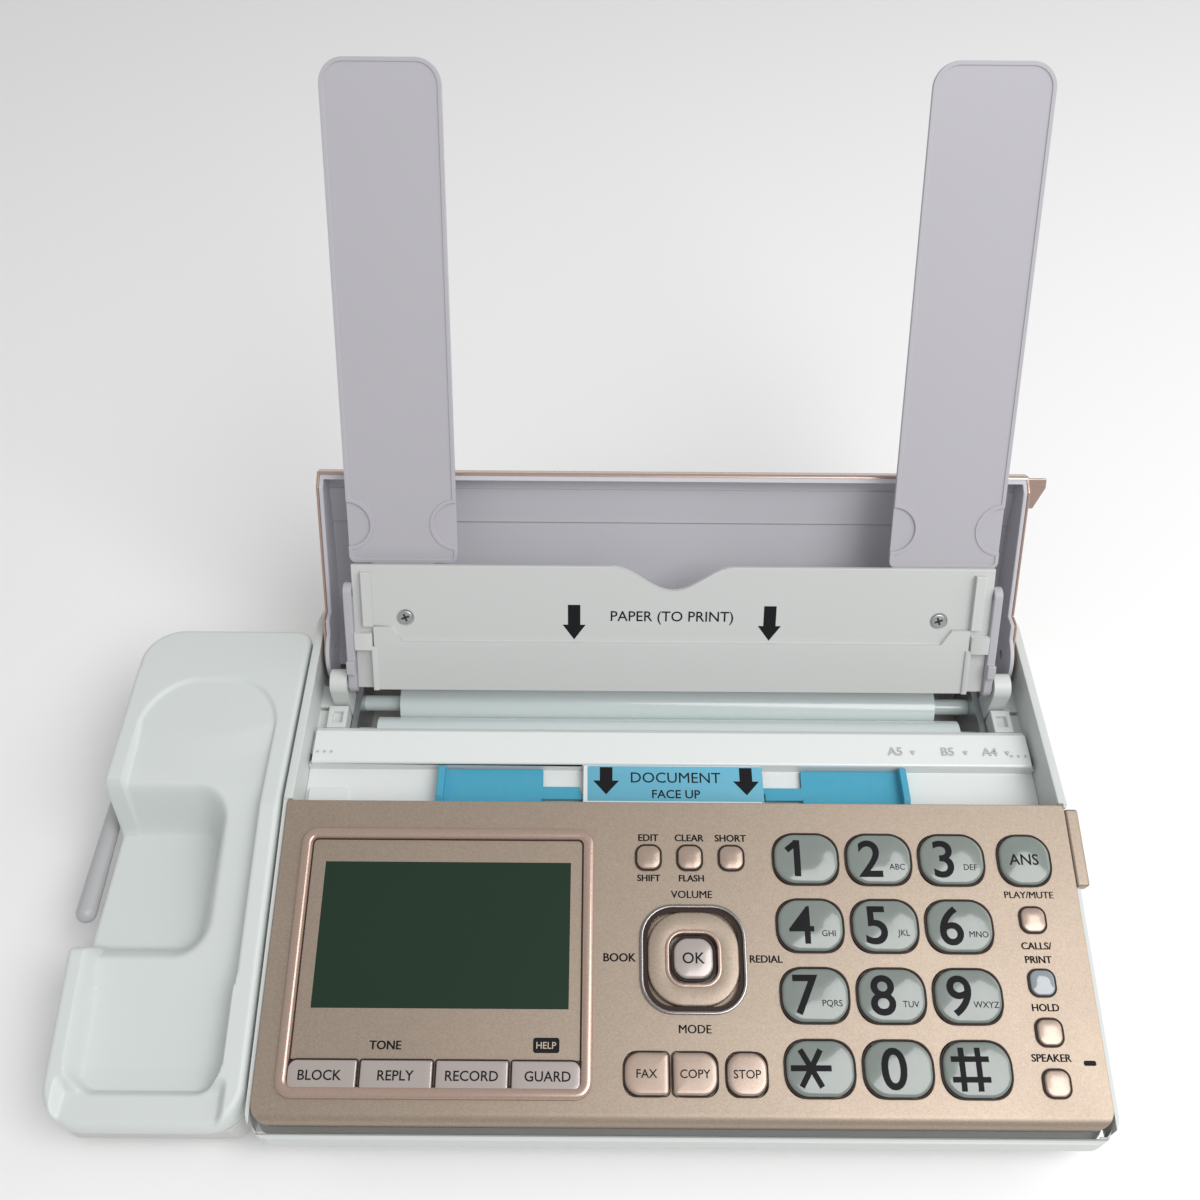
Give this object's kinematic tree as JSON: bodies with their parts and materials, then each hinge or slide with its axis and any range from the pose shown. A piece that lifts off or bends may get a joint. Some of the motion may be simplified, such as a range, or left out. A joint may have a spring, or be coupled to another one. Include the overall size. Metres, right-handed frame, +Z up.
{
  "type": "fax machine",
  "caption": "Home fax machine standing open: sloped key and display panel, handset cradle, folding paper tray with two supports, and a lid that closes over them.",
  "frame": {"origin": "under the middle of the open machine's outline, on the table", "axes": "+X to the right as the user faces the machine and along its longest side, +Y away from the user, +Z up"},
  "size_m": [0.3346, 0.2636, 0.2198],
  "materials": {
    "case": "matte",
    "tray_plastic": "matte",
    "lavender_plastic": "matte",
    "champagne_plastic": "satin",
    "chrome_trim": "polished",
    "smoke_plastic": "gloss",
    "teal_plastic": "satin",
    "dark_plastic": "matte",
    "display_window": "gloss",
    "soft_key_plastic": "gloss",
    "steel": "brushed",
    "rubber": "matte",
    "film": "gloss",
    "board": "matte",
    "antenna_finish": "satin"
  },
  "bodies": {
    "machine": {"base_pan": "case", "main_case": "case", "chassis": "steel", "document_deck": "case", "rubber_feet": "rubber", "thermal_head": "steel", "image_sensor": "dark_plastic", "main_board": "board", "rear_jacks": "dark_plastic", "cradle_base": "case", "cradle_top": "case"},
    "panel": {"operation_panel": "champagne_plastic", "panel_frame": "dark_plastic", "display_frame": "champagne_plastic", "display_glass": "display_window", "navigation_ring": "chrome_trim", "key_board": "board"},
    "lever": {"release_lever": "champagne_plastic"},
    "lid": {"lid_skin": "champagne_plastic", "lid_liner": "lavender_plastic"},
    "tray": {"paper_tray": "tray_plastic", "tray_arms": "lavender_plastic"},
    "left_board": {"left_support": "lavender_plastic"},
    "right_board": {"right_support": "lavender_plastic"},
    "left_document_guide": {"left_guide": "teal_plastic"},
    "right_document_guide": {"right_guide": "teal_plastic"},
    "stick_antenna": {"antenna": "antenna_finish"},
    "platen": {"platen_roller": "rubber"},
    "supply_roll": {"film_supply_roll": "film"},
    "take_up_roll": {"film_take_up_roll": "film"},
    "feed_roller": {"document_roller": "rubber"},
    "dial_key_1_body": {"dial_key_1": "smoke_plastic"},
    "dial_key_2_body": {"dial_key_2": "smoke_plastic"},
    "dial_key_3_body": {"dial_key_3": "smoke_plastic"},
    "dial_key_4_body": {"dial_key_4": "smoke_plastic"},
    "dial_key_5_body": {"dial_key_5": "smoke_plastic"},
    "dial_key_6_body": {"dial_key_6": "smoke_plastic"},
    "dial_key_7_body": {"dial_key_7": "smoke_plastic"},
    "dial_key_8_body": {"dial_key_8": "smoke_plastic"},
    "dial_key_9_body": {"dial_key_9": "smoke_plastic"},
    "dial_key_star_body": {"dial_key_star": "smoke_plastic"},
    "dial_key_0_body": {"dial_key_0": "smoke_plastic"},
    "dial_key_hash_body": {"dial_key_hash": "smoke_plastic"},
    "answering_key_body": {"answering_key": "smoke_plastic"},
    "playback_key_body": {"playback_key": "champagne_plastic"},
    "call_log_key_body": {"call_log_key": "smoke_plastic"},
    "hold_key_body": {"hold_key": "champagne_plastic"},
    "speaker_key_body": {"speaker_key": "champagne_plastic"},
    "edit_key_body": {"edit_key": "champagne_plastic"},
    "clear_key_body": {"clear_key": "champagne_plastic"},
    "shortcut_key_body": {"shortcut_key": "champagne_plastic"},
    "navigation_key_body": {"navigation_key": "champagne_plastic"},
    "select_key_body": {"select_key": "champagne_plastic"},
    "fax_key_body": {"fax_key": "champagne_plastic"},
    "copy_key_body": {"copy_key": "champagne_plastic"},
    "stop_key_body": {"stop_key": "champagne_plastic"},
    "soft_key_1_body": {"soft_key_1": "soft_key_plastic"},
    "soft_key_2_body": {"soft_key_2": "soft_key_plastic"},
    "soft_key_3_body": {"soft_key_3": "soft_key_plastic"},
    "soft_key_4_body": {"soft_key_4": "soft_key_plastic"}
  },
  "joints": [
    {"name": "panel_hinge", "type": "hinge", "parent": "machine", "child": "panel", "pos_m": [0.03375, -0.11978, 0.02], "axis": [-1, 0, 0], "range_deg": [-50, 0]},
    {"name": "lid_hinge", "type": "hinge", "parent": "machine", "child": "lid", "pos_m": [0.03375, 0.03508, 0.04096], "axis": [1, 0, 0], "range_deg": [0, 115.2]},
    {"name": "tray_hinge", "type": "hinge", "parent": "machine", "child": "tray", "pos_m": [0.03375, 0.01888, 0.04296], "axis": [1, 0, 0], "range_deg": [0, 121.4]},
    {"name": "left_board_hinge", "type": "hinge", "parent": "tray", "child": "left_board", "pos_m": [-0.06125, 0.03243, 0.06515], "axis": [0, 0.8536, -0.521], "range_deg": [0, 90.1]},
    {"name": "right_board_hinge", "type": "hinge", "parent": "tray", "child": "right_board", "pos_m": [0.12875, 0.03243, 0.06515], "axis": [0, -0.8536, 0.521], "range_deg": [0, 90.1]},
    {"name": "left_guide_slide", "type": "slide", "parent": "machine", "child": "left_document_guide", "axis": [-1, 0, 0], "range_m": [0, 0.027]},
    {"name": "right_guide_slide", "type": "slide", "parent": "machine", "child": "right_document_guide", "axis": [1, 0, 0], "range_m": [0, 0.027]},
    {"name": "lever_slide", "type": "slide", "parent": "panel", "child": "lever", "axis": [1, 0, 0], "range_m": [0, 0.0015], "stiffness_N_per_m": 300, "springref_m": -0.001},
    {"name": "antenna_hinge", "type": "hinge", "parent": "machine", "child": "stick_antenna", "pos_m": [-0.16395, 0.02263, 0.0195], "axis": [-1, 0, 0], "range_deg": [0, 90]},
    {"name": "platen_spin", "type": "hinge", "parent": "machine", "child": "platen", "pos_m": [0.03375, -0.00752, 0.022], "axis": [1, 0, 0], "continuous": true},
    {"name": "supply_spin", "type": "hinge", "parent": "machine", "child": "supply_roll", "pos_m": [0.03375, 0.02508, 0.0204], "axis": [1, 0, 0], "continuous": true},
    {"name": "take_up_spin", "type": "hinge", "parent": "machine", "child": "take_up_roll", "pos_m": [0.03375, 0.00948, 0.0222], "axis": [1, 0, 0], "continuous": true},
    {"name": "feed_spin", "type": "hinge", "parent": "machine", "child": "feed_roller", "pos_m": [0.03375, -0.04854, 0.0226], "axis": [1, 0, 0], "continuous": true},
    {"name": "dial_key_1_press", "type": "slide", "parent": "panel", "child": "dial_key_1_body", "axis": [0, 0.225, -0.9744], "range_m": [0, 0.0008], "stiffness_N_per_m": 400, "springref_m": -0.001},
    {"name": "dial_key_2_press", "type": "slide", "parent": "panel", "child": "dial_key_2_body", "axis": [0, 0.225, -0.9744], "range_m": [0, 0.0008], "stiffness_N_per_m": 400, "springref_m": -0.001},
    {"name": "dial_key_3_press", "type": "slide", "parent": "panel", "child": "dial_key_3_body", "axis": [0, 0.225, -0.9744], "range_m": [0, 0.0008], "stiffness_N_per_m": 400, "springref_m": -0.001},
    {"name": "dial_key_4_press", "type": "slide", "parent": "panel", "child": "dial_key_4_body", "axis": [0, 0.225, -0.9744], "range_m": [0, 0.0008], "stiffness_N_per_m": 400, "springref_m": -0.001},
    {"name": "dial_key_5_press", "type": "slide", "parent": "panel", "child": "dial_key_5_body", "axis": [0, 0.225, -0.9744], "range_m": [0, 0.0008], "stiffness_N_per_m": 400, "springref_m": -0.001},
    {"name": "dial_key_6_press", "type": "slide", "parent": "panel", "child": "dial_key_6_body", "axis": [0, 0.225, -0.9744], "range_m": [0, 0.0008], "stiffness_N_per_m": 400, "springref_m": -0.001},
    {"name": "dial_key_7_press", "type": "slide", "parent": "panel", "child": "dial_key_7_body", "axis": [0, 0.225, -0.9744], "range_m": [0, 0.0008], "stiffness_N_per_m": 400, "springref_m": -0.001},
    {"name": "dial_key_8_press", "type": "slide", "parent": "panel", "child": "dial_key_8_body", "axis": [0, 0.225, -0.9744], "range_m": [0, 0.0008], "stiffness_N_per_m": 400, "springref_m": -0.001},
    {"name": "dial_key_9_press", "type": "slide", "parent": "panel", "child": "dial_key_9_body", "axis": [0, 0.225, -0.9744], "range_m": [0, 0.0008], "stiffness_N_per_m": 400, "springref_m": -0.001},
    {"name": "dial_key_star_press", "type": "slide", "parent": "panel", "child": "dial_key_star_body", "axis": [0, 0.225, -0.9744], "range_m": [0, 0.0008], "stiffness_N_per_m": 400, "springref_m": -0.001},
    {"name": "dial_key_0_press", "type": "slide", "parent": "panel", "child": "dial_key_0_body", "axis": [0, 0.225, -0.9744], "range_m": [0, 0.0008], "stiffness_N_per_m": 400, "springref_m": -0.001},
    {"name": "dial_key_hash_press", "type": "slide", "parent": "panel", "child": "dial_key_hash_body", "axis": [0, 0.225, -0.9744], "range_m": [0, 0.0008], "stiffness_N_per_m": 400, "springref_m": -0.001},
    {"name": "answering_key_press", "type": "slide", "parent": "panel", "child": "answering_key_body", "axis": [0, 0.225, -0.9744], "range_m": [0, 0.0008], "stiffness_N_per_m": 400, "springref_m": -0.001},
    {"name": "playback_key_press", "type": "slide", "parent": "panel", "child": "playback_key_body", "axis": [0, 0.225, -0.9744], "range_m": [0, 0.0008], "stiffness_N_per_m": 400, "springref_m": -0.001},
    {"name": "call_log_key_press", "type": "slide", "parent": "panel", "child": "call_log_key_body", "axis": [0, 0.225, -0.9744], "range_m": [0, 0.0008], "stiffness_N_per_m": 400, "springref_m": -0.001},
    {"name": "hold_key_press", "type": "slide", "parent": "panel", "child": "hold_key_body", "axis": [0, 0.225, -0.9744], "range_m": [0, 0.0008], "stiffness_N_per_m": 400, "springref_m": -0.001},
    {"name": "speaker_key_press", "type": "slide", "parent": "panel", "child": "speaker_key_body", "axis": [0, 0.225, -0.9744], "range_m": [0, 0.0008], "stiffness_N_per_m": 400, "springref_m": -0.001},
    {"name": "edit_key_press", "type": "slide", "parent": "panel", "child": "edit_key_body", "axis": [0, 0.225, -0.9744], "range_m": [0, 0.0008], "stiffness_N_per_m": 400, "springref_m": -0.001},
    {"name": "clear_key_press", "type": "slide", "parent": "panel", "child": "clear_key_body", "axis": [0, 0.225, -0.9744], "range_m": [0, 0.0008], "stiffness_N_per_m": 400, "springref_m": -0.001},
    {"name": "shortcut_key_press", "type": "slide", "parent": "panel", "child": "shortcut_key_body", "axis": [0, 0.225, -0.9744], "range_m": [0, 0.0008], "stiffness_N_per_m": 400, "springref_m": -0.001},
    {"name": "navigation_key_press", "type": "slide", "parent": "panel", "child": "navigation_key_body", "axis": [0, 0.225, -0.9744], "range_m": [0, 0.0008], "stiffness_N_per_m": 400, "springref_m": -0.001},
    {"name": "select_key_press", "type": "slide", "parent": "panel", "child": "select_key_body", "axis": [0, 0.225, -0.9744], "range_m": [0, 0.0008], "stiffness_N_per_m": 400, "springref_m": -0.001},
    {"name": "fax_key_press", "type": "slide", "parent": "panel", "child": "fax_key_body", "axis": [0, 0.225, -0.9744], "range_m": [0, 0.0008], "stiffness_N_per_m": 400, "springref_m": -0.001},
    {"name": "copy_key_press", "type": "slide", "parent": "panel", "child": "copy_key_body", "axis": [0, 0.225, -0.9744], "range_m": [0, 0.0008], "stiffness_N_per_m": 400, "springref_m": -0.001},
    {"name": "stop_key_press", "type": "slide", "parent": "panel", "child": "stop_key_body", "axis": [0, 0.225, -0.9744], "range_m": [0, 0.0008], "stiffness_N_per_m": 400, "springref_m": -0.001},
    {"name": "soft_key_1_press", "type": "slide", "parent": "panel", "child": "soft_key_1_body", "axis": [0, 0.225, -0.9744], "range_m": [0, 0.0008], "stiffness_N_per_m": 400, "springref_m": -0.001},
    {"name": "soft_key_2_press", "type": "slide", "parent": "panel", "child": "soft_key_2_body", "axis": [0, 0.225, -0.9744], "range_m": [0, 0.0008], "stiffness_N_per_m": 400, "springref_m": -0.001},
    {"name": "soft_key_3_press", "type": "slide", "parent": "panel", "child": "soft_key_3_body", "axis": [0, 0.225, -0.9744], "range_m": [0, 0.0008], "stiffness_N_per_m": 400, "springref_m": -0.001},
    {"name": "soft_key_4_press", "type": "slide", "parent": "panel", "child": "soft_key_4_body", "axis": [0, 0.225, -0.9744], "range_m": [0, 0.0008], "stiffness_N_per_m": 400, "springref_m": -0.001}
  ],
  "couplings": [
    {"joint": "tray_hinge", "follows": "lid_hinge", "ratio": 1.0538},
    {"joint": "left_board_hinge", "follows": "lid_hinge", "ratio": 0.78125},
    {"joint": "right_board_hinge", "follows": "lid_hinge", "ratio": 0.78125},
    {"joint": "right_guide_slide", "follows": "left_guide_slide", "ratio": 1}
  ]
}
